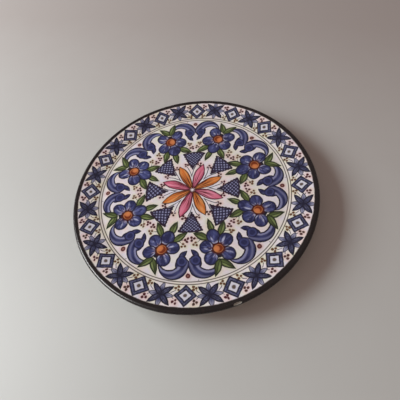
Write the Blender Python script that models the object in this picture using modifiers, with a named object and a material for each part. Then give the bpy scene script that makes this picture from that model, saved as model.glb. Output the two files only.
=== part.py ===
"""Wall plate: one turned piece of glazed earthenware, lying face up on its foot ring.

Metres, +Z up. The origin is the centre of the circle on which the foot ring stands.
"""

from math import cos, pi, radians, sin

import bmesh
import bpy
from mathutils import Vector

# Driving dimensions.
PLATE_RADIUS = 0.140
PLATE_HEIGHT = 0.022
LIP_THICKNESS = 0.0052  # at the rounded edge
BODY_THICKNESS = 0.0068  # of the well's floor
WELL_RADIUS = 0.1065  # where the level well meets the flange
WELL_DEPTH = 0.0058  # of the centre below the lip's crown
RING_DROP = 0.0050  # of the flange's inner edge below the lip's crown
FOOT_RADIUS = 0.0835  # outside, where the foot joins the body
FOOT_INNER_RADIUS = 0.0745
FOOT_WALL_TAPER = 0.0015  # how far each side of the foot leans in on its way down
FOOT_EDGE = 0.0006  # bevel at the edges that touch the table

# Two holes through the foot ring take the hanging wire.
WIRE_HOLE_RADIUS = 0.0016
WIRE_HOLE_HEIGHT = 0.0044
WIRE_HOLE_ANGLES = (radians(80), radians(100))

# A flake of glaze is missing from the lip's shoulder.
CHIP_ANGLE = radians(276.6)
CHIP_SIZE = (0.0034, 0.0080, 0.0030)  # across the lip, along it, up and down
CHIP_REACH = PLATE_RADIUS - 0.0009

TURN_STEPS = 96
LIP_STEPS = 6
COLLECTION_NAME = "wall_plate"

WELL_Z = PLATE_HEIGHT - WELL_DEPTH
BACK_Z = WELL_Z - BODY_THICKNESS
LIP_CENTRE = Vector((PLATE_RADIUS - LIP_THICKNESS * 0.55, 0, PLATE_HEIGHT - LIP_THICKNESS / 2))


def clear_scene():
    for old in list(bpy.data.objects):
        bpy.data.objects.remove(old, do_unlink=True)


def new_collection(name):
    collection = bpy.data.collections.new(name)
    bpy.context.scene.collection.children.link(collection)
    return collection


def face_profile():
    """Centre to lip: the well is almost level, and the flange lifts from it in one long slope."""
    ring_z = PLATE_HEIGHT - RING_DROP
    flange_end = LIP_CENTRE.x - 0.0015
    flange_top = PLATE_HEIGHT - 0.0003
    points = [(0.0, WELL_Z), (WELL_RADIUS * 0.4, WELL_Z)]
    points += [(WELL_RADIUS * 0.75, WELL_Z + 0.0001), (WELL_RADIUS - 0.004, WELL_Z + 0.0002)]
    points += [(WELL_RADIUS, WELL_Z + 0.00035), (WELL_RADIUS + 0.004, ring_z)]
    points += [((WELL_RADIUS + 0.004 + flange_end) / 2, (ring_z + flange_top) / 2)]
    return points + [(flange_end, flange_top)]


def lip_profile():
    """Half an ellipse over the rim, from its crown round to its underside."""
    across = PLATE_RADIUS - LIP_CENTRE.x
    turns = (pi / 2 - pi * step / LIP_STEPS for step in range(LIP_STEPS + 1))
    return [(LIP_CENTRE.x + across * cos(a), LIP_CENTRE.z + LIP_THICKNESS / 2 * sin(a)) for a in turns]


def back_profile():
    """Lip to centre: the underside falls to the foot ring, and the back inside the foot is flat."""
    under_lip = PLATE_HEIGHT - LIP_THICKNESS
    joint_z = BACK_Z - 0.0004
    outer_foot = FOOT_RADIUS - FOOT_WALL_TAPER
    inner_foot = FOOT_INNER_RADIUS + FOOT_WALL_TAPER
    points = [(PLATE_RADIUS - 0.0095, under_lip - 0.0004), (WELL_RADIUS + 0.006, BACK_Z + 0.0017)]
    points += [(FOOT_RADIUS + 0.006, BACK_Z + 0.0001), (FOOT_RADIUS + 0.0015, joint_z)]
    points += [(FOOT_RADIUS, joint_z - 0.0014), (outer_foot, FOOT_EDGE), (outer_foot - FOOT_EDGE, 0.0)]
    points += [(inner_foot + FOOT_EDGE, 0.0), (inner_foot, FOOT_EDGE)]
    points += [(FOOT_INNER_RADIUS, BACK_Z - 0.0014), (FOOT_INNER_RADIUS - 0.0014, BACK_Z)]
    return points + [(FOOT_INNER_RADIUS * 0.5, BACK_Z), (0.0, BACK_Z)]


def turned(name, profile, collection):
    """A closed solid from a profile in the XZ plane, spun once round Z."""
    mesh = bpy.data.meshes.new(name)
    edges = [(i, i + 1) for i in range(len(profile) - 1)]
    mesh.from_pydata([(x, 0.0, z) for x, z in profile], edges, [])
    piece = bpy.data.objects.new(name, mesh)
    collection.objects.link(piece)
    spin = piece.modifiers.new("Turn", "SCREW")
    spin.axis = "Z"
    spin.angle = 2 * pi
    spin.steps = TURN_STEPS
    spin.render_steps = TURN_STEPS
    spin.use_merge_vertices = True
    spin.merge_threshold = 0.00001
    spin.use_smooth_shade = True
    return piece


def as_cutter(cutter, body, label):
    cutter.hide_render = True
    cutter.display_type = "WIRE"
    cut = body.modifiers.new(label, "BOOLEAN")
    cut.operation = "DIFFERENCE"
    cut.solver = "EXACT"
    cut.object = cutter


def wire_hole(number, angle, body, collection):
    mesh = bpy.data.meshes.new(f"wire_hole_{number}")
    drill = bmesh.new()
    bmesh.ops.create_cone(
        drill, cap_ends=True, segments=16, radius1=WIRE_HOLE_RADIUS,
        radius2=WIRE_HOLE_RADIUS, depth=2.5 * (FOOT_RADIUS - FOOT_INNER_RADIUS),
    )
    drill.to_mesh(mesh)
    drill.free()
    cutter = bpy.data.objects.new(mesh.name, mesh)
    middle = (FOOT_RADIUS + FOOT_INNER_RADIUS) / 2
    cutter.location = (middle * cos(angle), middle * sin(angle), WIRE_HOLE_HEIGHT)
    cutter.rotation_euler = (0, pi / 2, angle)
    collection.objects.link(cutter)
    as_cutter(cutter, body, f"Wire hole {number}")


def rim_chip(body, collection):
    """A shallow scallop on the outer shoulder, level with the lip's crown."""
    mesh = bpy.data.meshes.new("rim_chip")
    flake = bmesh.new()
    bmesh.ops.create_icosphere(flake, subdivisions=2, radius=1)
    bmesh.ops.scale(flake, vec=Vector(CHIP_SIZE) / 2, verts=flake.verts)
    flake.to_mesh(mesh)
    flake.free()
    cutter = bpy.data.objects.new(mesh.name, mesh)
    cutter.location = (CHIP_REACH * cos(CHIP_ANGLE), CHIP_REACH * sin(CHIP_ANGLE), PLATE_HEIGHT)
    cutter.rotation_euler = (0, 0, CHIP_ANGLE)
    collection.objects.link(cutter)
    as_cutter(cutter, body, "Rim chip")


def glaze():
    material = bpy.data.materials.new("cobalt_and_cream_glaze")
    material.use_nodes = True
    shader = material.node_tree.nodes["Principled BSDF"]
    shader.inputs["Base Color"].default_value = (0.50, 0.47, 0.46, 1)
    shader.inputs["Roughness"].default_value = 0.18
    shader.inputs["Metallic"].default_value = 0.0
    return material


def main():
    clear_scene()
    pieces = new_collection(COLLECTION_NAME)
    cutters = new_collection("cutters")
    plate = turned("plate", face_profile() + lip_profile() + back_profile(), pieces)
    for number, angle in enumerate(WIRE_HOLE_ANGLES, 1):
        wire_hole(number, angle, plate, cutters)
    rim_chip(plate, cutters)
    plate.data.materials.append(glaze())


main()
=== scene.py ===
from functools import reduce
from math import atan2, cos, hypot, pi, radians, sin

import bpy
from mathutils import Euler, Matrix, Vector
from mathutils.kdtree import KDTree


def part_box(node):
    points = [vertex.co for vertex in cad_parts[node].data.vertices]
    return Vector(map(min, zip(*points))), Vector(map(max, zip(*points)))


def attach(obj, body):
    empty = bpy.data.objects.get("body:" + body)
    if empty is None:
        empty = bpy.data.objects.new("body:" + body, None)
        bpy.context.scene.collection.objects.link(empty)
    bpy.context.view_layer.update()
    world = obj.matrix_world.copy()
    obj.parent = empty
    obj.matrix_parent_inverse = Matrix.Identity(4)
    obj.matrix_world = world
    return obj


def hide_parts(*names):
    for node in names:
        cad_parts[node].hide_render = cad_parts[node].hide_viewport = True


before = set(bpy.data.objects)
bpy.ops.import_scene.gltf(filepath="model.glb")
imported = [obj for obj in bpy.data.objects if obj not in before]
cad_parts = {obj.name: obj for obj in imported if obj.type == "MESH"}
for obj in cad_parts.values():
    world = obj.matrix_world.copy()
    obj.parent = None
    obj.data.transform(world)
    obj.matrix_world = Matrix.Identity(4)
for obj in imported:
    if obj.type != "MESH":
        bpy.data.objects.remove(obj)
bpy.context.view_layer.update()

mm = 0.001
plateLow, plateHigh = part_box("plate")
rimRadius = (plateHigh.x - plateLow.x) / 2 / mm
plateHeight = (plateHigh.z - plateLow.z) / mm


class Wire:  # a socket that does sums
    def __init__(self, kit, socket):
        self.kit, self.socket = kit, socket

    def __add__(self, other):
        return self.kit.maths("ADD", self, other)

    __radd__ = __add__

    def __sub__(self, other):
        return self.kit.maths("SUBTRACT", self, other)

    def __rsub__(self, other):
        return self.kit.maths("SUBTRACT", other, self)

    def __mul__(self, other):
        return self.kit.maths("MULTIPLY", self, other)

    __rmul__ = __mul__

    def __truediv__(self, other):
        return self.kit.maths("DIVIDE", self, other)

    def __abs__(self):
        return self.kit.maths("ABSOLUTE", self)


class Kit:  # one material and its nodes
    def __init__(self, name):
        self.material = bpy.data.materials.new(name)
        self.material.use_nodes = True
        self.tree = self.material.node_tree
        self.tree.nodes.clear()

    def node(self, kind, settings=None, values=None, output=0):
        made = self.tree.nodes.new(kind)
        for name, value in (settings or {}).items():
            setattr(made, name, value)
        for key, value in (values or {}).items():
            if isinstance(value, Wire):
                self.tree.links.new(value.socket, made.inputs[key])
            else:
                made.inputs[key].default_value = value
        return Wire(self, made.outputs[output]) if made.outputs else None

    def maths(self, operation, *values, clamp=False):
        settings = {"operation": operation, "use_clamp": clamp}
        return self.node("ShaderNodeMath", settings, dict(enumerate(values)))

    def vectorMaths(self, operation, *values, output=0):
        return self.node("ShaderNodeVectorMath", {"operation": operation}, dict(enumerate(values)), output)

    def least(self, *values):
        return reduce(lambda a, b: self.maths("MINIMUM", a, b), values)

    def most(self, *values):
        return reduce(lambda a, b: self.maths("MAXIMUM", a, b), values)

    def inside(self, edge, grow=0.0, soft=0.25):  # 1 where an edge distance in mm is below grow
        return self.maths("MULTIPLY_ADD", edge, -1 / soft, 0.5 + grow / soft, clamp=True)

    def fade(self, distance, reach, strength=1.0):  # strongest at 0, gone at reach
        return self.maths("MULTIPLY_ADD", distance, -strength / reach, strength, clamp=True)

    def mix(self, mask, below, above):  # a colour is a socket, a value or a paint's name
        below, above = [ink(paint[c]) if isinstance(c, str) else c for c in (below, above)]
        return self.node("ShaderNodeMix", {"data_type": "RGBA"}, {0: mask, 6: below, 7: above}, 2)

    def lay(self, below, above, edge, grow=0.0, soft=0.25):  # paint with an edge
        return self.mix(self.inside(edge, grow, soft), below, above)

    def wash(self, below, above, distance, reach, strength=1.0):  # paint that fades out
        return self.mix(self.fade(distance, reach, strength), below, above)

    def noise(self, where, size, detail=1.0, output=0):  # size in mm
        values = {"Vector": where, "Scale": 1 / size, "Detail": detail}
        return self.node("ShaderNodeTexNoise", None, values, output)

    def patchy(self, where, size, contrast, start, detail=2.0):  # noise with its contrast raised
        return self.maths("MULTIPLY_ADD", self.noise(where, size, detail), contrast, start, clamp=True)

    def place(self, here, at, turn=0.0, size=(1.0, 1.0)):  # here, seen from a motif's own middle
        values = {0: here, "Location": (*at, 0), "Rotation": (0, 0, radians(turn)), "Scale": (*size, 1)}
        return self.node("ShaderNodeMapping", {"vector_type": "TEXTURE"}, values)

    def parts(self, vector):
        first = self.node("ShaderNodeSeparateXYZ", None, {0: vector})
        return [Wire(self, socket) for socket in first.socket.node.outputs]

    def join(self, x, y, z=0.0):
        return self.node("ShaderNodeCombineXYZ", None, {0: x, 1: y, 2: z})


def ink(text):  # a paint's colour from its hex name
    levels = [int(text[i:i + 2], 16) / 255 for i in (0, 2, 4)]
    return (*[v / 12.92 if v <= 0.04045 else ((v + 0.055) / 1.055) ** 2.4 for v in levels], 1.0)


# Paints and glazes, as they look fired.
paint = {
    "ground": "f0e7e7", "groundCool": "e0dbe4", "groundWarm": "e7e6cf",
    "groundRosy": "eed9d4", "groundSpeck": "c9b9b6",
    "blush": "e3bfb4",  # faint stain round the red berries
    "straw": "dad7ad",  # and round the leaves and ochre berries
    "outline": "1d1b29",
    "cobaltDeep": "262a50", "cobalt": "434a7b", "cobaltLight": "656c9f", "cobaltPale": "9092b6",
    "gleam": "babdd8", "ray": "d2bccb",
    "leafLine": "262d1f", "leafDark": "323c25",
    "leaf": "545f36", "leafFresh": "687b40", "leafLight": "93a366",
    "orange": "d4712e", "orangeLight": "e6a05c", "orangeDeep": "b45a22", "orangeLine": "5c3a20",
    "pink": "d0627c", "pinkLight": "e894a8", "pinkDeep": "93354f", "pinkLine": "571c30",
    "petalRoot": "521414",
    "disc": "c57142", "discLight": "d4834e", "discRim": "cf9660",
    "discShade": "7a3013", "discLine": "4a1915",
    "berry": "4d1a24", "berryBrown": "4a3229", "ochre": "66432a",
    "stem": "302e33", "stemPale": "ece9ee",
    "ringLine": "51473d", "ringHalo": "d9d1b8", "ringDot": "5e272c", "ringDotPale": "8a6557",
    "netBorder": "2c1f30", "net": "25233d", "netCell": "9294b8",
    "borderDeep": "1d1f34", "borderBlue": "3a4066", "borderLight": "6a6c84", "borderPale": "adacc0",
    "window": "d5d3dc", "pip": "5d5048",
    "lip": "1d1a1b", "lipWarm": "2c2320", "lipThin": "4a3a30",
    "back": "e6e1d8", "backShade": "d5cdc0", "speck": "6b5b4c",
    "clay": "b9b8ad", "clayShade": "9a978c", "clayWarm": "b98a66", "clayDirt": "7c7364",
}

# Turns are in degrees and lengths in mm. A motif's places are (out from the plate's middle, left of
# its axis), a wash is (how far it reaches, how strong), and an edge is (how far out it lies, how soft).
layout = {"copies": 8, "flowerTurn": 8.65, "petalTurn": 11.75, "borderTurn": 7.95}
brush = {
    "drift": 1.0,  # how far the hand strays, over how long a stretch
    "driftSize": 24.0,
    "tremble": 0.3,
    "trembleSize": 3.2,
    "line": 0.62,  # half an outline's width
    "ringsAt": 107.4,  # the wheel draws the rings here, and the motifs keep clear of them
    "calm": 7.0,  # within this distance of the rings the hand strays less
    "soft": 0.25,
}
mottle = {  # patches of tone: how big, how strong, how rare, and how detailed
    "groundCool": (9, 3.0, -1.0, 3.0),
    "groundWarm": (16, 3.6, -1.7),
    "groundRosy": (21, 4.0, -2.1),
    "groundSpeck": (1.1, 3.0, -1.6),
    "berry": (15.0, 5.0, -2.2),
    "leafWash": (6.0, 3.0, -1.0),
    "petalShine": (7.0, 5.0, -2.2),
    "borderWash": (3.5, 2.6, -0.8),
    "borderHatch": (1.7, 5.0, -2.0),
    "lip": (5.0, 3.0, -1.6),
    "clayDirt": (9, 3.0, -1.6, 3.0),
}
speckStrength = 0.6


def startGlaze(name):
    kit = Kit(name)
    return kit, kit.vectorMaths("MULTIPLY", kit.node("ShaderNodeTexCoord", output="Object"), (1 / mm,) * 3)


def wheel(kit, where):  # distance from the middle, and angle round it
    x, y, _ = kit.parts(where)
    return kit.maths("SQRT", x * x + y * y), kit.maths("ARCTAN2", y, x)


def startPainting(name, nearRings=False):
    kit, where = startGlaze(name)
    trueRadius, _ = wheel(kit, where)
    moved = where
    for size, reach in ((brush["driftSize"], brush["drift"]), (brush["trembleSize"], brush["tremble"])):
        wander = kit.vectorMaths("SUBTRACT", kit.noise(where, size, 1.0, output="Color"), (0.5, 0.5, 0.5))
        amount = 3 * reach  # the noise keeps mostly to the middle third of its range
        if nearRings:
            amount = kit.maths("MULTIPLY", abs(trueRadius - brush["ringsAt"]), amount / brush["calm"])
            amount = kit.least(amount, 3 * reach)
        shift = kit.node("ShaderNodeVectorMath", {"operation": "SCALE"}, {0: wander, "Scale": amount})
        moved = kit.vectorMaths("ADD", moved, shift)
    radius, angle = wheel(kit, moved)
    colour = kit.mix(kit.patchy(where, *mottle["groundCool"]), "groundCool", "ground")
    for tone in ("groundWarm", "groundRosy"):
        colour = kit.mix(kit.patchy(where, *mottle[tone]), colour, tone)
    colour = kit.mix(kit.patchy(where, *mottle["groundSpeck"]) * speckStrength, colour, "groundSpeck")
    return kit, where, trueRadius, radius, angle, colour


def fold(kit, angle, copies, firstTurn):
    # The angle from the nearest of several equal axes, and that axis's number.
    turns = (angle - radians(firstTurn)) * (copies / (2 * pi))
    nearest = kit.maths("ROUND", turns)
    return (turns - nearest) * (2 * pi / copies), kit.maths("FLOORED_MODULO", nearest, copies)


def flat(kit, radius, angle):
    return kit.join(radius * kit.maths("COSINE", angle), radius * kit.maths("SINE", angle))


def away(start, reach, turn):  # the place that far from the start
    a = radians(turn)
    return start[0] + reach * cos(a), start[1] + reach * sin(a)


def discEdge(kit, here, middle, radius):
    return kit.vectorMaths("DISTANCE", here, (*middle, 0), output="Value") - radius


def ovalEdge(kit, here, middle, turn, halfLong, halfWide):
    seen = kit.place(here, middle, turn, (halfLong, halfWide))
    return kit.maths("MULTIPLY_ADD", kit.vectorMaths("LENGTH", seen, output="Value"), halfWide, -halfWide)


def alongStroke(kit, here, foot, tip, bow):  # 0 to 1 from foot to tip, and mm to the side
    run, rise = tip[0] - foot[0], tip[1] - foot[1]
    length = hypot(run, rise)
    turn = atan2(rise, run) * 180 / pi
    along, across, _ = kit.parts(kit.place(here, foot, turn, (length, 1)))
    if bow:
        across = across - along * (1 - along) * (4 * bow)
    return along, across, length


def leafEdge(kit, here, foot, tip, half, fullness=0.0, bow=0.0):
    # Pointed at both ends. Fullness moves its widest place towards the foot.
    along, across, _ = alongStroke(kit, here, foot, tip, bow)
    t = along * (1 + fullness - along * fullness) if fullness else along
    return abs(across) - t * (1 - t) * (4 * half), along, across


def stemEdge(kit, here, foot, tip, half, bow=0.0):
    along, across, length = alongStroke(kit, here, foot, tip, bow)
    return kit.most(abs(across) - half, (abs(along - 0.5) - 0.5) * length)


berries = {
    "turns": (0, 120, 240),
    "spread": 1.85,
    "size": 1.42,
    "stain": (3.4, 0.6),  # how far it reaches, and how strong it is
    "uneven": 1.2,
    "unevenSize": 2.4,
    "soft": 0.5,
}
stemSoft = 0.4


def paintBerries(kit, colour, where, here, middle, firstTurn, ochre=False):  # three round a middle
    b = berries
    spots = [away(middle, b["spread"], firstTurn + turn) for turn in b["turns"]]
    edge = kit.least(*(discEdge(kit, here, spot, b["size"]) for spot in spots))
    edge = edge + (kit.noise(where, b["unevenSize"]) - 0.5) * b["uneven"]
    # Some red clusters are browner than others.
    berry = "ochre" if ochre else kit.mix(kit.patchy(where, *mottle["berry"]), "berry", "berryBrown")
    colour = kit.wash(colour, "straw" if ochre else "blush", edge, *b["stain"])
    return kit.lay(colour, berry, edge, 0.0, b["soft"])


def paintStem(kit, colour, here, foot, tip, half, bow=0.0):
    edge = stemEdge(kit, here, foot, tip, half, bow)
    return kit.lay(colour, "stem", edge, 0.0, stemSoft)


def paintShape(kit, colour, edge, fill, line="outline", width=brush["line"], soft=brush["soft"]):
    colour = kit.lay(colour, line, edge, width, soft)
    return kit.lay(colour, fill, edge, -width, soft)


leafBrush = {
    "fullness": 0.3,
    "halo": (4.0, 0.6),
    "fresh": (0.75, 0.9),  # fresher green from the foot on
    "lit": 0.4,  # the light stripe: how far aside and how wide, as parts of the leaf's half width
    "litWidth": 0.45,
    "litStrength": 0.75,
    "litMiddle": 0.55,
    "litLength": (0.4, 1.4),
    "shade": (2.0, 0.9),
    "rib": 0.3,
    "ribEnd": 0.85,
    "ribTaper": 12,
    "ribSoft": 0.5,
    "ribStrength": 0.95,
}


def paintHalos(kit, colour, here, group):  # the green bleeds a little into the ground
    edge = kit.least(*(leafEdge(kit, here, *leaf, leafBrush["fullness"])[0] for leaf in group))
    return kit.wash(colour, "straw", edge, *leafBrush["halo"])


def paintLeaf(kit, colour, here, foot, tip, half, wash):
    b = leafBrush
    edge, along, across = leafEdge(kit, here, foot, tip, half, b["fullness"])
    green = kit.mix(wash, "leafDark", "leaf")
    green = kit.wash(green, "leafFresh", along, *b["fresh"])
    side = b["lit"] * half if tip[1] < foot[1] else -b["lit"] * half
    lit = kit.fade(abs(across - side), half * b["litWidth"], b["litStrength"])
    lit = lit * kit.fade(abs(along - b["litMiddle"]), *b["litLength"])
    green = kit.mix(lit, green, "leafLight")
    green = kit.wash(green, "leafDark", edge * -1, *b["shade"])
    rib = kit.most(abs(across) - b["rib"], (along - b["ribEnd"]) * b["ribTaper"])
    rib = kit.inside(rib, 0.0, b["ribSoft"]) * b["ribStrength"]
    green = kit.mix(rib, green, "leafLine")
    return paintShape(kit, colour, edge, green, "leafLine")


lattice = {
    "apex": 29.2,
    "base": 54.5,
    "halfAngle": 29.9,
    "border": 1.3,
    "borderSoft": 0.8,
    "line": (0.75, 0.4),
    "scallop": 0.32,
    "scallopPitch": 3.6,
    "netTurn": 42,
    "netPitch": 3.0,
    "netVaries": 1.3,  # how much finer some nets are than others
    "netSeed": (7.3, 0.5),  # another pair gives other nets the finer mesh
    "cell": (5.0, -0.7),  # how crisp a cell is, and how thick the threads are
    "solid": 4.5,  # how far from its apex it is solid paint
    "solidFade": 5.0,
    "corner": (3.0, 10.5),  # the outer corners fill up with paint from here on
    "cornerSoft": 1.2,
}


def paintLattice(kit, colour, radius, angle):  # netted triangles between the flowers, apex inwards
    t = lattice
    fromAxis, index = fold(kit, angle, layout["copies"], layout["flowerTurn"] + 180 / layout["copies"])
    seed, row = t["netSeed"]
    fine = kit.noise(kit.join(index * seed, row), 1.0) * t["netVaries"]
    fine = (fine + 1 - t["netVaries"] / 2) / t["netPitch"]
    a = radians(t["halfAngle"])
    out = radius * kit.maths("COSINE", fromAxis)
    side = abs(radius * kit.maths("SINE", fromAxis))
    near = side * cos(a) - out * sin(a) + t["apex"] * sin(a)  # from the nearer side, negative within
    along = out * cos(a) + side * sin(a)
    ruffle = kit.maths("SINE", along * (2 * pi / t["scallopPitch"])) * t["scallop"]
    edge = kit.most(near, radius - t["base"]) - ruffle
    colour = kit.lay(colour, "netBorder", edge, *t["line"])
    fromBase, aside = t["corner"]
    corner = kit.most(t["base"] - fromBase - radius, aside - side)
    clear = kit.inside(corner * -1, 0.0, t["cornerSoft"])
    netted = kit.least(kit.inside(edge, -t["border"], t["borderSoft"]), clear)
    netted = kit.least(netted, kit.fade(t["apex"] + t["solid"] + t["solidFade"] - out, t["solidFade"]))
    n = radians(t["netTurn"])
    first = kit.maths("PINGPONG", (out * cos(n) + side * sin(n)) * fine, 0.5)
    second = kit.maths("PINGPONG", (out * cos(n) - side * sin(n)) * fine, 0.5)
    cell = kit.maths("MULTIPLY_ADD", kit.least(first, second), *t["cell"], clamp=True)
    return kit.mix(netted, colour, kit.mix(cell, "net", "netCell"))


clearGlaze = {
    "ripple": (13, 0.06),
    "roughness": 0.12,
    "uneven": (9, 0.1),
    "ior": 1.5,
}


def finishGlaze(kit, colour, where, relief=None, matt=None):  # clear glaze over the paint
    c = clearGlaze
    size, depth = c["ripple"]
    height = kit.noise(where, size, 2.0) * depth
    if relief is not None:
        height = height + relief
    bump = kit.node("ShaderNodeBump", None, {"Strength": 1.0, "Distance": mm, "Height": height})
    size, extra = c["uneven"]
    roughness = kit.noise(where, size, 2.0) * extra + c["roughness"]
    if matt is not None:
        roughness = roughness + matt
    return surface(kit, {"Base Color": colour, "Roughness": roughness, "Normal": bump, "IOR": c["ior"]})


def surface(kit, values):
    shader = kit.node("ShaderNodeBsdfPrincipled", None, values)
    kit.node("ShaderNodeOutputMaterial", None, {0: shader})
    return kit.material


rosette = {
    "petalFoot": 1.6,
    "petalTip": 37.8,
    "petalHalf": 5.4,
    "petalFullness": -0.2,  # they are widest a little beyond their middle
    "petalLine": (0.5, -0.8),  # where a petal's outline starts and ends, out from its edge
    "shade": (2.2, 0.8),
    "seed": 3.7,
    "streak": (1.2, 11.0, 4.0, -1.6),  # how fine along and round, how strong, how rare
    "stroke": (0.8, 14.0, 9.0, -4.1),
    "strokeShift": 20,
    "strokesEnd": (0.72, 2.2),
    "stem": ((15.5, 6.9), (33.6, 8.0), 0.45, 0.7),
    "stemHalo": (1.3, 0.5),
    "stemSoft": 0.3,
    "berries": ((36.2, 6.3), 100),
    "eye": 1.2,
    "eyeSoft": 0.8,
    "eyeShade": 5.0,
    "ray": (5.0, 6.0, -2.8),  # how fine round the eye, how strong, how rare
    "rayReach": 2.2,
    "root": (11.5, 4.0),  # the dark wash under the petals
}


def rosetteGlaze():
    kit, where, _, radius, angle, colour = startPainting("painted rosette")
    r = rosette
    local, _ = fold(kit, angle, layout["copies"], layout["flowerTurn"])
    here = flat(kit, radius, abs(local))
    colour = paintBerries(kit, colour, where, here, *r["berries"])
    colour = paintLattice(kit, colour, radius, angle)

    local, index = fold(kit, angle, layout["copies"], layout["petalTurn"])
    here = flat(kit, radius, abs(local))
    edge = stemEdge(kit, here, *r["stem"])
    colour = kit.wash(colour, "stemPale", edge, *r["stemHalo"])
    colour = kit.lay(colour, "stem", edge, 0.0, r["stemSoft"])
    colour = kit.lay(colour, "petalRoot", radius, *r["root"])

    foot, tip = (r["petalFoot"], 0), (r["petalTip"], 0)
    edge, along, _ = leafEdge(kit, here, foot, tip, r["petalHalf"], r["petalFullness"])
    odd = kit.maths("PINGPONG", index, 1.0)
    tones = [kit.mix(odd, "orange" + tone, "pink" + tone) for tone in ("", "Light", "Deep", "Line")]
    fill, light, deep, line = tones
    run, turn, *look = r["streak"]
    streak = kit.patchy(kit.join(along * run, local * turn, index * r["seed"]), 1.0, *look)
    fill = kit.mix(streak, fill, light)
    fill = kit.wash(fill, deep, edge * -1, *r["shade"])
    run, turn, *look = r["stroke"]
    strokes = kit.join(along * run, local * turn, index * r["seed"] + r["strokeShift"])
    strokes = kit.patchy(strokes, 1.0, *look) * kit.fade(along, *r["strokesEnd"])
    fill = kit.mix(strokes, fill, "petalRoot")
    outer, inner = r["petalLine"]
    colour = kit.lay(colour, line, edge, outer)
    colour = kit.lay(colour, fill, edge, inner)

    colour = kit.wash(colour, "petalRoot", radius - r["eye"], r["eyeShade"])
    turn, *look = r["ray"]
    rays = kit.patchy(kit.join(angle * turn, 0.0), 1.0, *look) * r["rayReach"]
    colour = kit.lay(colour, "ground", radius - rays, r["eye"], r["eyeSoft"])
    return finishGlaze(kit, colour, where)


flower = {
    "middle": (80.0, 0.0),
    "petals": (  # turn, reach, half length, half width; the first one lies under the others
        (178, 15.1, 8.7, 7.1),
        (122, 12.7, 7.7, 7.2),
        (-124, 12.5, 7.6, 7.2),
        (43, 11.5, 7.6, 6.9),
        (-59, 11.9, 7.5, 6.9),
    ),
    "ground": (9.5, 0.6),  # the dark paint under the petals' inner ends
    "seed": 5.3,
    "marks": (  # strokes, lights and rays: how fine round and out, shift, how strong, how rare, detail
        (3.6, 0.08, 0, 5.0, -2.1, 3.0),
        (4.8, 0.12, 40, 6.0, -3.1),
        (6.5, 0.1, 80, 9.0, -4.7, 1.0),
    ),
    "lightStrength": 0.9,
    "rayMiddle": 7.5,
    "rayLength": (3.2, 0.8),
    "petalShade": (2.4, 1.2),
    "seam": 1.3,  # the pale line's distance in from a petal's edge
    "seamLook": (0.8, 1.2),
    "seamStart": 7.0,
    "seamLength": (5.0, 1.2),
    "seamMost": 1.1,
    "gleam": (8.9, 0.26, 3.2, 0.8),  # reach, place across the half width, half length, half width
    "gleamTurn": 8,
    "gleamSoft": (1.6, 1.8),
    "gleamStrength": 0.95,
    "line": (0.5, 0.5),
}
disc = {
    "middle": (79.3, 0.6),
    "size": 4.9,
    "soft": 0.8,
    "line": (2.3, 1.8),
    "raggedSize": 1.8,
    "ragged": 3.0,
    "dark": (0.0, 0.5, 3.8),  # two discs make a crescent: how far out, how far left, and how big
    "light": (-0.4, -2.3, 3.9),
    "lightFade": 3.0,
    "crescent": (0.3, 0.9),
    "rim": (1.6, 0.4),
}
leaves = {  # foot, tip, half width
    "inner": (
        ((66.2, 7.4), (52.2, 17.8), 3.6),
        ((65.4, -5.2), (53.0, -17.8), 3.7),
        ((60.4, 1.6), (43.5, 2.5), 3.2),
    ),
    "outer": (((90.4, -4.2), (105.4, 7.2), 3.5), ((90.2, -2.2), (105.2, -13.8), 3.5)),
    "outerWash": 0.3,
    "stems": (((62.8, 13.4), (65.4, 19.6), 0.32), ((61.4, 14.6), (59.8, 19.4), 0.3)),
}
wreath = {
    "ochreBerries": ((65.9, 20.4), 90),  # their middle, and which way one of them points
    "redBerries": ((59.2, 21.0), 40),
    "dotReach": 101.6,
    "dotSize": 2.6,
    "dotStain": (3.0, 0.7),
    "dotSoft": 0.5,
    "dotPale": (-1.55, 0.7),
    "stretch": 0.03,  # how much further out the left side of a flower lies than the right
}
scroll = {
    "outer": ((88.6, 19.9), 15.4),
    "inner": ((86.0, 14.1), 11.2),
    "heel": ((85.3, 28.4), 7.0),
    "bulb": ((82.7, 26.4), 5.6),
    "beak": ((86.4, 23.9), (70.0, 26.2), 2.5, -0.5, 1.2),
    "cut": 84.6,
    "streak": (0.8, 0.08, 3.6, -1.7),  # how fine across and along, how strong, how rare
    "stripe": 1.7,  # the pale stripe's distance from the hollow side
    "stripeLook": (1.8, 1.5),
    "stripeEnd": (0.6, 0.3),  # it starts beyond the bulb: how sharply, and how strong at the bulb's rim
    "stripeStrength": 0.85,
    "outerStripe": 7.4,
    "outerStripeLook": (1.9, 0.5),
    "head": 3.0,  # it is all dark from this far inwards of the bulb's middle
    "headSoft": (-0.3, 1.0),
    "headStrength": 0.8,
    "ring": 1.7,
    "ringLook": (1.4, 0.9),
    "curl": (0.7, 0.9),  # the line round the bulb, where the band runs into it
    "curlStart": 4.0,
    "curlSoft": 2.0,
    "shade": 1.4,
}


def petalFill(kit, here, index):
    # Strokes that run out from the flower's middle, and each place's distance from it.
    f = flower
    reach, around = wheel(kit, kit.place(here, f["middle"], 180))
    marks = []
    for turn, run, shift, *look in f["marks"]:
        seed = index * f["seed"]
        seed = seed + shift if shift else seed
        marks.append(kit.patchy(kit.join(around * turn, reach * run, seed), 1.0, *look))
    strokes, lights, rays = marks
    blue = kit.mix(strokes, "cobaltDeep", "cobalt")
    blue = kit.mix(lights * f["lightStrength"], blue, "cobaltLight")
    rays = rays * kit.fade(abs(reach - f["rayMiddle"]), *f["rayLength"])
    return kit.mix(rays, blue, "ray"), reach


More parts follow.
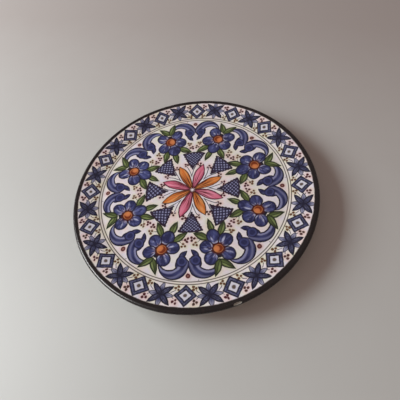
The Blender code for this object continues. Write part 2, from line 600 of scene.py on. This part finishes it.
def paintPetal(kit, colour, here, petal, fill, reach, shine):
    f = flower
    turn, out, halfLong, halfWide = petal
    edge = ovalEdge(kit, here, away(f["middle"], out, turn), turn, halfLong, halfWide)
    fill = kit.wash(fill, "cobaltDeep", edge * -1, *f["petalShade"])
    seam = kit.fade(abs(edge + f["seam"]), *f["seamLook"])
    seam = seam * kit.fade(reach - f["seamStart"], *f["seamLength"])
    fill = kit.mix(seam * (f["seamMost"] - shine), fill, "gleam")
    start, aside, halfStreak, halfThin = f["gleam"]
    spot = kit.place(here, f["middle"], turn)
    streakMiddle = (start + halfStreak, aside * halfWide)
    streak = kit.place(spot, streakMiddle, f["gleamTurn"], (halfStreak, halfThin))
    streak = kit.fade(kit.vectorMaths("LENGTH", streak, output="Value"), *f["gleamSoft"])
    fill = kit.mix(streak * shine * f["gleamStrength"], fill, "gleam")
    return paintShape(kit, colour, edge, fill, "outline", *f["line"])


def mirror(kit, here):  # folds a flower's right side over its left
    out, left, _ = kit.parts(here)
    return kit.join(out - left * wreath["stretch"], abs(left))


def paintInnerLeaves(kit, colour, here, wash):
    for foot, tip, half in leaves["inner"]:
        colour = paintLeaf(kit, colour, here, foot, tip, half, wash)
    return colour


def gardenGlaze():
    kit, where, _, radius, angle, colour = startPainting("painted lattices")
    local, index = fold(kit, angle, layout["copies"], layout["flowerTurn"])
    here = flat(kit, radius, local)
    mirrored = mirror(kit, here)
    colour = paintHalos(kit, colour, here, leaves["inner"])
    colour = paintBerries(kit, colour, where, mirrored, *wreath["redBerries"])
    colour = paintLattice(kit, colour, radius, angle)
    colour = paintInnerLeaves(kit, colour, here, kit.patchy(where, *mottle["leafWash"]))
    shine = kit.patchy(where, *mottle["petalShine"])
    colour = paintPetal(kit, colour, here, flower["petals"][0], *petalFill(kit, here, index), shine)
    return finishGlaze(kit, colour, where)


def paintScroll(kit, colour, here):  # a curling band with a bulb and a beak at its end
    s = scroll
    out = discEdge(kit, here, *s["outer"])
    hollow = discEdge(kit, here, *s["inner"])
    bulb = discEdge(kit, here, *s["bulb"])
    up, side, _ = kit.parts(here)
    beak, _, _ = leafEdge(kit, here, *s["beak"])
    head = kit.least(bulb, up - s["bulb"][0][0] + s["head"])
    band = kit.most(out, hollow * -1, s["cut"] - up)
    edge = kit.least(band, discEdge(kit, here, *s["heel"]), bulb, beak)
    across, run, *look = s["streak"]
    streak = kit.patchy(kit.join(hollow * across, side * run, up * run), 1.0, *look)
    fill = kit.mix(streak, "cobaltDeep", "cobalt")
    fill = kit.wash(fill, "cobaltPale", abs(hollow - s["outerStripe"]), *s["outerStripeLook"])
    pale = kit.fade(abs(hollow - s["stripe"]), *s["stripeLook"])
    pale = pale * kit.maths("MULTIPLY_ADD", bulb, *s["stripeEnd"], clamp=True)
    fill = kit.mix(pale * s["stripeStrength"], fill, "cobaltPale")
    fill = kit.mix(kit.inside(head, *s["headSoft"]) * s["headStrength"], fill, "cobaltDeep")
    fill = kit.wash(fill, "cobalt", abs(bulb + s["ring"]), *s["ringLook"])
    curl = kit.fade(abs(bulb), *s["curl"])
    curl = curl * kit.inside(s["cut"] - s["curlStart"] - up, 0.0, s["curlSoft"])
    fill = kit.mix(curl, fill, "outline")
    fill = kit.wash(fill, "cobaltDeep", edge * -1, s["shade"])
    return paintShape(kit, colour, edge, fill)


def paintDisc(kit, colour, here, ragged):
    d = disc
    x, y = d["middle"]
    edge = discEdge(kit, here, (x, y), d["size"])
    colour = kit.lay(colour, "discLine", edge + ragged, *d["line"])
    pair = (d["dark"], d["light"])
    dark, light = [discEdge(kit, here, (x + out, y + left), size) for out, left, size in pair]
    fill = kit.wash("disc", "discLight", light + d["lightFade"], d["lightFade"])
    fill = kit.wash(fill, "discRim", edge * -1, *d["rim"])
    fill = kit.lay(fill, "discShade", kit.most(dark, light * -1), *d["crescent"])
    return kit.lay(colour, fill, edge, 0.0, d["soft"])


def wreathGlaze():
    kit, where, trueRadius, radius, angle, colour = startPainting("painted wreath", nearRings=True)
    w, f = wreath, flower
    local, index = fold(kit, angle, layout["copies"], layout["flowerTurn"])
    here = flat(kit, radius, local)
    mirrored = mirror(kit, here)
    colour = paintRingHalos(kit, colour, trueRadius)
    colour = paintHalos(kit, colour, here, leaves["inner"] + leaves["outer"])
    for stem in leaves["stems"]:
        colour = paintStem(kit, colour, mirrored, *stem)
    colour = paintBerries(kit, colour, where, mirrored, *w["ochreBerries"], ochre=True)
    colour = paintBerries(kit, colour, where, mirrored, *w["redBerries"])
    spot = away((0, 0), w["dotReach"], 180 / layout["copies"])
    edge = discEdge(kit, flat(kit, radius, abs(local)), spot, w["dotSize"])
    colour = kit.wash(colour, "blush", edge, *w["dotStain"])
    colour = kit.lay(colour, "ringDot", edge, 0.0, w["dotSoft"])
    colour = kit.lay(colour, "ringDotPale", edge, *w["dotPale"])

    colour = paintScroll(kit, colour, mirrored)
    wash = kit.patchy(where, *mottle["leafWash"])
    colour = paintInnerLeaves(kit, colour, here, wash)
    fill, reach = petalFill(kit, here, index)
    shine = kit.patchy(where, *mottle["petalShine"])
    ground, soft = f["ground"]
    colour = kit.lay(colour, "outline", reach - ground, 0.0, soft)
    for petal in f["petals"]:
        colour = paintPetal(kit, colour, here, petal, fill, reach, shine)
    for foot, tip, half in leaves["outer"]:
        colour = paintLeaf(kit, colour, here, foot, tip, half, wash * leaves["outerWash"])
    ragged = kit.noise(where, disc["raggedSize"], 1.0) * disc["ragged"] - disc["ragged"] / 2
    colour = paintDisc(kit, colour, here, ragged)
    return finishGlaze(kit, colour, where)


border = {
    "middle": 122.2,
    "diamond": 11.9,  # half a diagonal
    "window": 5.7,
    "pip": 1.95,
    "frameLine": 1.0,
    "windowLine": 0.9,
    "frameSoft": 0.5,
    "windowSoft": 0.4,
    "pipSoft": 1.0,
    "stripe": (0.8, 1.2),
    "starReach": 123.3,
    "starRoot": (5.5, 1.2),
    "leafFoot": -1.5,  # the leaves start behind the star's middle
    "leafTurns": (50, 135),
    "leafLength": 14.2,
    "leafHalf": 2.6,
    "leafLine": 0.6,
    "leafBlue": (0.4, 0.5),
    "lit": (0.8, 0.8, 0.9),  # a leaf's two pale stripes: how far aside, how wide, how strong
    "litLength": (0.5, 0.4, 1.5),
    "litStrength": 0.9,
    "paleCopies": 4,
    "paleLength": 12.8,
    "paleHalf": 2.6,
    "paleLine": (0.42, 0.5),
    "paleRib": (0.7, 0.6),
    "paleRoot": (5.0, 6.0),
    "paleHatch": 0.4,
    "redBerries": ((128.9, 10.0), 90),
    "ochreBerries": ((114.4, 8.3), 90),
    "stems": (((125.9, 11.3), (122.8, 16.5), 0.35, 0.5), ((116.2, 9.8), (119.4, 14.6), 0.35, -0.5)),
    "rings": (108.2, 110.9),
    "ring": (0.48, 0.4),
    "ringHalo": (2.9, 0.4),
    "lipEdge": 134.3,
    "lipWander": (1.4, 6.0, 60.0),  # how far, and over how short and how long a stretch
    "lipThin": (0.5, 0.8),
}


lip = {"soft": 0.5, "matt": 0.1}


def paintRingHalos(kit, colour, trueRadius):
    for ring in border["rings"]:
        colour = kit.wash(colour, "ringHalo", abs(trueRadius - ring), *border["ringHalo"])
    return colour


def paintStar(kit, colour, here, wash, hatch):
    b = border
    turn = 90 / layout["copies"]
    star = kit.place(here, away((0, 0), b["starReach"], turn), turn)
    x, y, _ = kit.parts(star)
    y = abs(y)
    reach = kit.maths("SQRT", x * x + y * y)
    local, _ = fold(kit, kit.maths("ARCTAN2", y, x), b["paleCopies"], 0)
    foot, tip = (b["leafFoot"], 0), (b["paleLength"], 0)
    edge, _, across = leafEdge(kit, flat(kit, reach, local), foot, tip, b["paleHalf"])
    fill = kit.wash("borderPale", "borderBlue", abs(across), *b["paleRib"])
    rootEnd, rootFade = b["paleRoot"]
    shade = kit.most(kit.fade(reach - rootEnd, rootFade), hatch * b["paleHatch"])
    fill = kit.mix(shade, fill, "borderBlue")
    colour = paintShape(kit, colour, edge, fill, "outline", *b["paleLine"])
    half = kit.join(x, y)
    litAside, *litLook = b["lit"]
    litMiddle, *litLength = b["litLength"]
    blueStart, blueFade = b["leafBlue"]
    for turn in b["leafTurns"]:
        foot, tip = away((0, 0), b["leafFoot"], turn), away((0, 0), b["leafLength"], turn)
        edge, along, across = leafEdge(kit, half, foot, tip, b["leafHalf"])
        blue = wash * kit.fade(along - blueStart, blueFade)
        fill = kit.mix(blue, "borderDeep", "borderBlue")
        lit = kit.fade(abs(abs(across) - litAside), *litLook) * kit.fade(abs(along - litMiddle), *litLength)
        fill = kit.mix(lit * hatch * b["litStrength"], fill, "borderLight")
        colour = paintShape(kit, colour, edge, fill, width=b["leafLine"])
    return kit.wash(colour, "borderDeep", reach, *b["starRoot"])


def paintDiamond(kit, colour, here, wash, hatch):
    b = border
    out, side, _ = kit.parts(here)
    slant = cos(radians(45))
    stand = (abs(out - b["middle"]) + side) * slant
    outer, window = b["diamond"] * slant, b["window"] * slant
    colour = kit.lay(colour, "outline", stand, outer, b["frameSoft"])
    blue = kit.mix(wash, "borderDeep", "borderBlue")
    stripe = kit.fade(abs(stand - (outer + window) / 2), *b["stripe"]) * hatch
    blue = kit.mix(stripe, blue, "borderLight")
    colour = kit.lay(colour, blue, stand, outer - b["frameLine"], b["frameSoft"])
    colour = kit.lay(colour, "outline", stand, window + b["windowLine"], b["frameSoft"])
    colour = kit.lay(colour, "window", stand, window, b["windowSoft"])
    pip = discEdge(kit, here, (b["middle"], 0), b["pip"])
    return kit.lay(colour, "pip", pip, 0.0, b["pipSoft"])


def lipColour(kit, where):  # nearly black, browner where it ran thin
    return kit.mix(kit.patchy(where, *mottle["lip"]), "lip", "lipWarm")


def paintLip(kit, colour, where, edge, thin):  # its edge over the painting or the back
    colour = kit.lay(colour, "lipThin", edge, *thin)
    return kit.lay(colour, lipColour(kit, where), edge, 0.0, lip["soft"])


def borderGlaze():
    kit, where, trueRadius, radius, angle, colour = startPainting("painted border", nearRings=True)
    b = border
    local, _ = fold(kit, angle, 2 * layout["copies"], layout["borderTurn"])
    here = flat(kit, radius, abs(local))
    colour = paintRingHalos(kit, colour, trueRadius)
    colour = paintBerries(kit, colour, where, here, *b["redBerries"])
    colour = paintBerries(kit, colour, where, here, *b["ochreBerries"], ochre=True)
    for stem in b["stems"]:
        colour = paintStem(kit, colour, here, *stem)
    wash = kit.patchy(where, *mottle["borderWash"])
    hatch = kit.patchy(where, *mottle["borderHatch"])
    colour = paintStar(kit, colour, here, wash, hatch)
    colour = paintDiamond(kit, colour, here, wash, hatch)
    for ring in b["rings"]:
        colour = kit.lay(colour, "ringLine", abs(trueRadius - ring), *b["ring"])
    reach, short, long = b["lipWander"]
    wander = kit.noise(where, short, 2.0) + kit.noise(where, long, 1.0) - 1
    edge = b["lipEdge"] - trueRadius + wander * reach
    colour = paintLip(kit, colour, where, edge, b["lipThin"])
    return finishGlaze(kit, colour, where)


def lipGlaze():
    kit, where = startGlaze("black lip glaze")
    return finishGlaze(kit, lipColour(kit, where), where, matt=lip["matt"])


back = {
    "shadeSize": 22,
    "ringPitch": 1.8,
    "ring": (2.4, -0.9),
    "ringShade": 0.35,
    "ringHeight": 0.1,
    "speckScale": 0.16,
    "speck": (0.06, 0.9),
    "bare": (-1.4, 3.1),  # how sharply the glaze thins towards the foot, and from what height
    "bareWander": (1.2, 4.0),
    "bareMatt": 0.45,
    "lipEdge": 137.4,
    "lipWander": (1.6, 7.0),
    "lipThin": (0.6, 1.2),
}


def backGlaze():  # pale slip under clear glaze, with turning rings and the black lip lapping under
    b = back
    kit, where = startGlaze("pale back glaze")
    radius, _ = wheel(kit, where)
    colour = kit.mix(kit.noise(where, b["shadeSize"], 3.0), "back", "backShade")
    rings = kit.patchy(kit.join(radius / b["ringPitch"], 0.0), 1.0, *b["ring"])
    colour = kit.mix(rings * b["ringShade"], colour, "backShade")
    speck = kit.node("ShaderNodeTexVoronoi", None, {"Vector": where, "Scale": b["speckScale"]})
    colour = kit.wash(colour, "speck", speck, *b["speck"])
    _, _, height = kit.parts(where)
    reach, size = b["bareWander"]
    height = height + kit.noise(where, size, 2.0) * reach
    bare = kit.maths("MULTIPLY_ADD", height, *b["bare"], clamp=True)
    colour = kit.mix(bare, colour, "clayWarm")
    reach, size = b["lipWander"]
    edge = b["lipEdge"] - radius + (kit.noise(where, size, 2.0) - 0.5) * reach
    colour = paintLip(kit, colour, where, edge, b["lipThin"])
    return finishGlaze(kit, colour, where, rings * b["ringHeight"], bare * b["bareMatt"])


clayGrain = {"size": 1.1, "depth": 0.9, "roughness": (0.75, 0.15), "dirt": 0.4, "ior": 1.45}


def bareClay():  # the unglazed foot and the broken edge
    c = clayGrain
    kit, where = startGlaze("bare fired clay")
    grain = kit.noise(where, c["size"], 5.0)
    colour = kit.mix(grain, "clayShade", "clay")
    colour = kit.mix(kit.patchy(where, *mottle["clayDirt"]) * c["dirt"], colour, "clayDirt")
    bump = kit.node("ShaderNodeBump", None, {"Strength": c["depth"], "Distance": mm / 4, "Height": grain})
    least, extra = c["roughness"]
    values = {"Base Color": colour, "Roughness": grain * extra + least, "Normal": bump, "IOR": c["ior"]}
    return surface(kit, values)


# The turned form, in mm. Its size comes from the plate in model.glb, its section is the same as the
# solid's.
form = {
    "lipThickness": 5.2,
    "lipWidth": 0.55,  # how far in the rounding goes, as a part of the lip's thickness
    "lipJoin": 1.5,
    "lipSteps": 22,
    "bodyThickness": 6.8,
    "wellRadius": 106.5,
    "wellDepth": 5.8,
    "wellRise": 0.25,
    "bend": (5, 4, 2),  # starts before the well's edge, the flange follows after it, and it ends after that
    "ringDrop": 5.0,
    "lipRise": 0.3,
    "footRadius": 83.5,
    "footInner": 74.5,
    "footTaper": 1.5,
    "footEdge": 0.6,
    "blackRings": 8,  # how many rings of faces the black glaze laps under the lip
    "turns": 384,
    "stops": (0.0, 100.0, 114.0),  # with the zones' ends, where the face's rings change width
    "rings": (10, 4, 10, 6, 6, 12),
}
zones = (42.0, 57.0, 107.4, 136.4)  # how far out each painted zone reaches


def smooth(low, high, value):
    t = min(max((value - low) / (high - low), 0), 1)
    return t * t * (3 - 2 * t)


def faceHeight(radius):
    f = form
    before, after, beyond = f["bend"]
    well = plateHeight - f["wellDepth"] + f["wellRise"] * (radius / f["wellRadius"]) ** 3
    flangeStart = f["wellRadius"] + after
    flangeEnd = rimRadius - f["lipWidth"] * f["lipThickness"] - f["lipJoin"]
    slope = (f["ringDrop"] - f["lipRise"]) / (flangeEnd - flangeStart)
    flange = plateHeight - f["ringDrop"] + slope * (radius - flangeStart)
    return well + (flange - well) * smooth(f["wellRadius"] - before, flangeStart + beyond, radius)


def faceProfile():
    stops = sorted(form["stops"] + zones)
    stretches = zip(stops, stops[1:], form["rings"])
    radii = [low + (high - low) * i / count for low, high, count in stretches for i in range(count)]
    return [(r, faceHeight(r)) for r in radii]


def lipProfile():
    thick = form["lipThickness"]
    across = form["lipWidth"] * thick
    steps = form["lipSteps"]
    turns = [pi / 2 - pi * i / steps for i in range(steps + 1)]
    middle = plateHeight - thick / 2
    return [(rimRadius - across + across * cos(a), middle + thick / 2 * sin(a)) for a in turns]


def backProfile():
    f = form
    under = plateHeight - f["lipThickness"]
    level = plateHeight - f["wellDepth"] - f["bodyThickness"]
    joint = level - 0.4
    foot, hollow, taper, edge = f["footRadius"], f["footInner"], f["footTaper"], f["footEdge"]
    corners = [  # and into how many rings the stretch after each is divided
        (rimRadius - 9.5, under - 0.4, 5),
        (f["wellRadius"] + 6, level + 1.7, 4),
        (foot + 6, level + 0.1, 3),
        (foot + 1.5, joint, 2),
        (foot, joint - 1.4, 4),
        (foot - taper, edge, 2),
        (foot - taper - edge, 0.0, 3),
        (hollow + taper + edge, 0.0, 2),
        (hollow + taper, edge, 4),
        (hollow, level - 1.4, 3),
        (hollow - 1.4, level, 6),
        (hollow * 0.5, level, 5),
        (0.0, level, 1),
    ]
    points = []
    for (r0, z0, count), (r1, z1, _) in zip(corners, corners[1:]):
        points += [(r0 + (r1 - r0) * i / count, z0 + (z1 - z0) * i / count) for i in range(count)]
    return points + [(0.0, level)]


def deselectAll():
    bpy.ops.object.select_all(action="DESELECT")


def turnPlate(profile):
    # One vertex is drawn along the section, and the section is spun once round.
    deselectAll()
    bpy.ops.mesh.primitive_plane_add(size=0.01, location=(0, 0, 0))
    plate = bpy.context.object
    plate.name = plate.data.name = "paintedPlate"
    bpy.ops.object.mode_set(mode="EDIT")
    bpy.ops.mesh.select_all(action="SELECT")
    bpy.ops.mesh.merge(type="CENTER")
    bpy.ops.transform.translate(value=(0, 0, profile[0][1] * mm))
    for (r0, z0), (r1, z1) in zip(profile, profile[1:]):
        step = ((r1 - r0) * mm, 0, (z1 - z0) * mm)
        bpy.ops.mesh.extrude_region_move(TRANSFORM_OT_translate={"value": step})
    bpy.ops.mesh.select_all(action="SELECT")
    bpy.ops.mesh.spin(steps=form["turns"], angle=2 * pi, center=(0, 0, 0), axis=(0, 0, 1))
    bpy.ops.mesh.select_all(action="SELECT")
    bpy.ops.mesh.remove_doubles(threshold=0.000005)
    bpy.ops.mesh.normals_make_consistent(inside=False)
    bpy.ops.object.mode_set(mode="OBJECT")
    print("plate turned:", len(plate.data.polygons), "faces")
    return plate


# The flat map: a big disc for the face and the outside of the lip, a small one for the back,
# and a corner for the cuts.
flatMap = {"face": ((0.41, 0.41), 0.405), "back": ((0.83, 0.83), 0.165), "cuts": ((0.9, 0.02), 0.08)}


def ringFinder(profile):  # the widest ring's number, and what finds a point's ring along the section
    widest = max(range(len(profile)), key=lambda i: profile[i][0])
    tree = KDTree(len(profile))
    for i, (radius, height) in enumerate(profile):
        tree.insert((radius, 0, height), i)
    tree.balance()
    return widest, lambda co: tree.find((hypot(co.x, co.y) / mm, 0, co.z / mm))[1]


def unwrapPlate(plate, profile):
    runs = [0.0]
    for (r0, z0), (r1, z1) in zip(profile, profile[1:]):
        runs.append(runs[-1] + hypot(r1 - r0, z1 - z0))
    widest, findRing = ringFinder(profile)
    mesh = plate.data
    rings = [findRing(v.co) for v in mesh.vertices]
    for old in list(mesh.uv_layers):
        mesh.uv_layers.remove(old)
    layer = mesh.uv_layers.new(name="OFBake")
    for face in mesh.polygons:
        onFace = max(rings[v] for v in face.vertices) <= widest
        (u, v), size = flatMap["face" if onFace else "back"]
        for corner in face.loop_indices:
            vertex = mesh.vertices[mesh.loops[corner].vertex_index]
            run = runs[rings[vertex.index]]
            reach = run / runs[widest] if onFace else (runs[-1] - run) / (runs[-1] - runs[widest])
            turn = atan2(vertex.co.y, vertex.co.x)
            side = 1 if onFace else -1
            layer.data[corner].uv = (u + side * size * reach * cos(turn), v + size * reach * sin(turn))


def glazePlate(plate, profile, glazes):
    # Slots in order: the painted zones from the middle out, the lip, the back, the bare foot.
    lipSlot, backSlot, footSlot = range(len(zones), len(glazes))
    widest, findRing = ringFinder(profile)
    for glaze in glazes:
        plate.data.materials.append(glaze)
    for face in plate.data.polygons:
        middle = face.center
        radius = hypot(middle.x, middle.y) / mm
        ring = findRing(middle)
        if face.normal.z > 0.5 and ring < widest:
            face.material_index = sum(radius > reach for reach in zones)
        elif ring <= widest + form["blackRings"]:
            face.material_index = lipSlot
        elif middle.z / mm < form["footEdge"]:
            face.material_index = footSlot
        else:
            face.material_index = backSlot


# The wire holes were bored through the foot, and the lip lost a flake later.
cuts = {
    "wireHole": 1.6,
    "wireHoleHeight": 4.4,
    "wireHoleAngles": (80, 100),
    "chipAngle": 276.6,
    "chipReach": 0.9,  # in from the rim's outermost line, level with the lip's crown
    "chipSize": (1.5, 4.4, 1.5),  # half sizes: across the lip, along it, up and down
    "chipRoughness": 0.9,
    "chipGrain": 1.7,
}


def wireHole(angle):
    c, f = cuts, form
    middle = (f["footRadius"] + f["footInner"]) / 2
    a = radians(angle)
    bpy.ops.mesh.primitive_cylinder_add(
        vertices=32, radius=c["wireHole"] * mm,
        depth=2.5 * (f["footRadius"] - f["footInner"]) * mm,
        location=(middle * cos(a) * mm, middle * sin(a) * mm, c["wireHoleHeight"] * mm),
        rotation=(0, pi / 2, a),
    )
    return bpy.context.object


def rimChip():
    c = cuts
    a = radians(c["chipAngle"])
    reach = (rimRadius - c["chipReach"]) * mm
    bpy.ops.mesh.primitive_ico_sphere_add(
        subdivisions=5, radius=1, location=(reach * cos(a), reach * sin(a), plateHeight * mm),
        rotation=(0, 0, a), scale=[size * mm for size in c["chipSize"]],
    )
    flake = bpy.context.object
    bpy.ops.object.transform_apply(location=False, rotation=False, scale=True)
    rough = flake.modifiers.new("Fracture", "DISPLACE")
    rough.texture = bpy.data.textures.new("fracture", "CLOUDS")
    rough.texture.noise_scale = c["chipGrain"] * mm
    rough.strength = c["chipRoughness"] * mm
    bpy.ops.object.modifier_apply(modifier="Fracture")
    return flake


def cutPlate(plate, glaze):
    deselectAll()
    cutters = [wireHole(angle) for angle in cuts["wireHoleAngles"]] + [rimChip()]
    (u, v), size = flatMap["cuts"]
    for cutter in cutters:
        cutter.select_set(True)
        cutter.data.materials.append(glaze)
        cutter.data.uv_layers[0].name = "OFBake"
        for corner in cutter.data.uv_layers[0].data:
            corner.uv = (u + size * corner.uv.x, v + size * corner.uv.y)
    bpy.ops.object.join()
    cutter = bpy.context.object
    cut = plate.modifiers.new("Cuts", "BOOLEAN")
    cut.operation = "DIFFERENCE"
    cut.solver = "EXACT"
    cut.material_mode = "TRANSFER"
    cut.object = cutter
    bpy.context.view_layer.objects.active = plate
    bpy.ops.object.modifier_apply(modifier="Cuts")
    bpy.data.objects.remove(cutter)
    deselectAll()
    plate.select_set(True)
    bpy.context.view_layer.objects.active = plate
    bpy.ops.object.shade_smooth_by_angle(angle=radians(35))
    print("plate cut:", len(plate.data.polygons), "faces")


section = faceProfile() + lipProfile() + backProfile()
plate = turnPlate(section)
unwrapPlate(plate, section)
clay = bareClay()
glazes = [rosetteGlaze(), gardenGlaze(), wreathGlaze(), borderGlaze(), lipGlaze(), backGlaze(), clay]
for glaze in glazes:
    print(glaze.name, len(glaze.node_tree.nodes), "nodes")
glazePlate(plate, section, glazes)
cutPlate(plate, clay)
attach(plate, "root")
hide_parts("plate")

studio = {
    "floor": ("ada59f", "d0d3cd"),  # from its far end to its near end; the paler near end is a painted pool of light
    "floorSize": 6,
    "floorPaintedLight": (243, 0.7, 0.08),  # which way its painted light grows paler, over how many metres, and how mottled it is
    "floorMottle": 0.05,
    "floorRoughness": 0.6,
    "lights": {  # azimuth, elevation, distance, width, height, watts, colour, and what it lights
        "window": (156, 29, 1.6, 1.05, 0.68, 32.5, "eff9ff", "diffuse"),
        "rim": (181, 37, 0.8, 0.5, 0.24, 8.0, "ffffff", "glossy"),
    },
    "room": ("b59f9a", 0.65),
}
view = {
    "lens": 29.37,
    "sensor": 36,
    "elevation": 58.30,
    "roll": -14.16,
    "distance": 373.9,
    "aside": (9.34, -13.72),  # from the middle of the rim to where the camera looks, across and up
    "aimDrop": 2.4,  # below the lip's crown
}


def makeFloor():
    deselectAll()
    bpy.ops.mesh.primitive_plane_add(size=studio["floorSize"], location=(0, 0, 0))
    floor = bpy.context.object
    floor.name = "studioFloor"
    kit = Kit("matt pale floor")
    where = kit.node("ShaderNodeTexCoord", output="Object")
    turn, span, strength = studio["floorPaintedLight"]
    x, y, _ = kit.parts(where)
    # Painted light: the floor's colour grows paler towards the near left like a pool of light, with mottled
    # patches on top.
    tone = x * (cos(radians(turn)) / span) + y * (sin(radians(turn)) / span) + 0.5
    patches = (kit.noise(where, studio["floorMottle"], 4.0) - 0.5) * strength
    tone = kit.maths("ADD", tone, patches, clamp=True)
    colour = kit.mix(tone, *(ink(shade) for shade in studio["floor"]))
    values = {"Base Color": colour, "Roughness": studio["floorRoughness"]}
    floor.data.materials.append(surface(kit, values))


def makeLights():
    for name, values in studio["lights"].items():
        azimuth, elevation, distance, width, height, watts, colour, kind = values
        a, e = radians(azimuth), radians(elevation)
        place = Vector((cos(a) * cos(e), sin(a) * cos(e), sin(e))) * distance
        bpy.ops.object.light_add(type="AREA", location=place)
        light = bpy.context.object
        light.name = name
        light.data.shape = "RECTANGLE"
        light.data.size = width
        light.data.size_y = height
        light.data.energy = watts
        light.data.color = ink(colour)[:3]
        light.visible_diffuse = kind == "diffuse"
        light.visible_glossy = kind == "glossy"
        light.rotation_euler = (-place).to_track_quat("-Z", "Y").to_euler()
    world = bpy.data.worlds.new("room")
    bpy.context.scene.world = world
    world.use_nodes = True
    colour, strength = studio["room"]
    world.node_tree.nodes["Background"].inputs["Color"].default_value = ink(colour)
    world.node_tree.nodes["Background"].inputs["Strength"].default_value = strength


def makeCamera():
    tilt = radians(90 - view["elevation"])
    turned = Euler((tilt, 0, 0)).to_matrix() @ Euler((0, 0, radians(view["roll"]))).to_matrix()
    right, up, behind = turned.col
    across, rise = view["aside"]
    aim = Vector((0, 0, plateHeight - view["aimDrop"])) + right * across + up * rise
    data = bpy.data.cameras.new("camera")
    data.lens = view["lens"]
    data.sensor_width = view["sensor"]
    camera = bpy.data.objects.new("camera", data)
    bpy.context.scene.collection.objects.link(camera)
    camera.matrix_world = turned.to_4x4()
    camera.location = (aim + behind * view["distance"]) * mm
    bpy.context.scene.camera = camera


makeFloor()
makeLights()
makeCamera()
bpy.context.scene.view_settings.view_transform = "Standard"
print("studio ready")
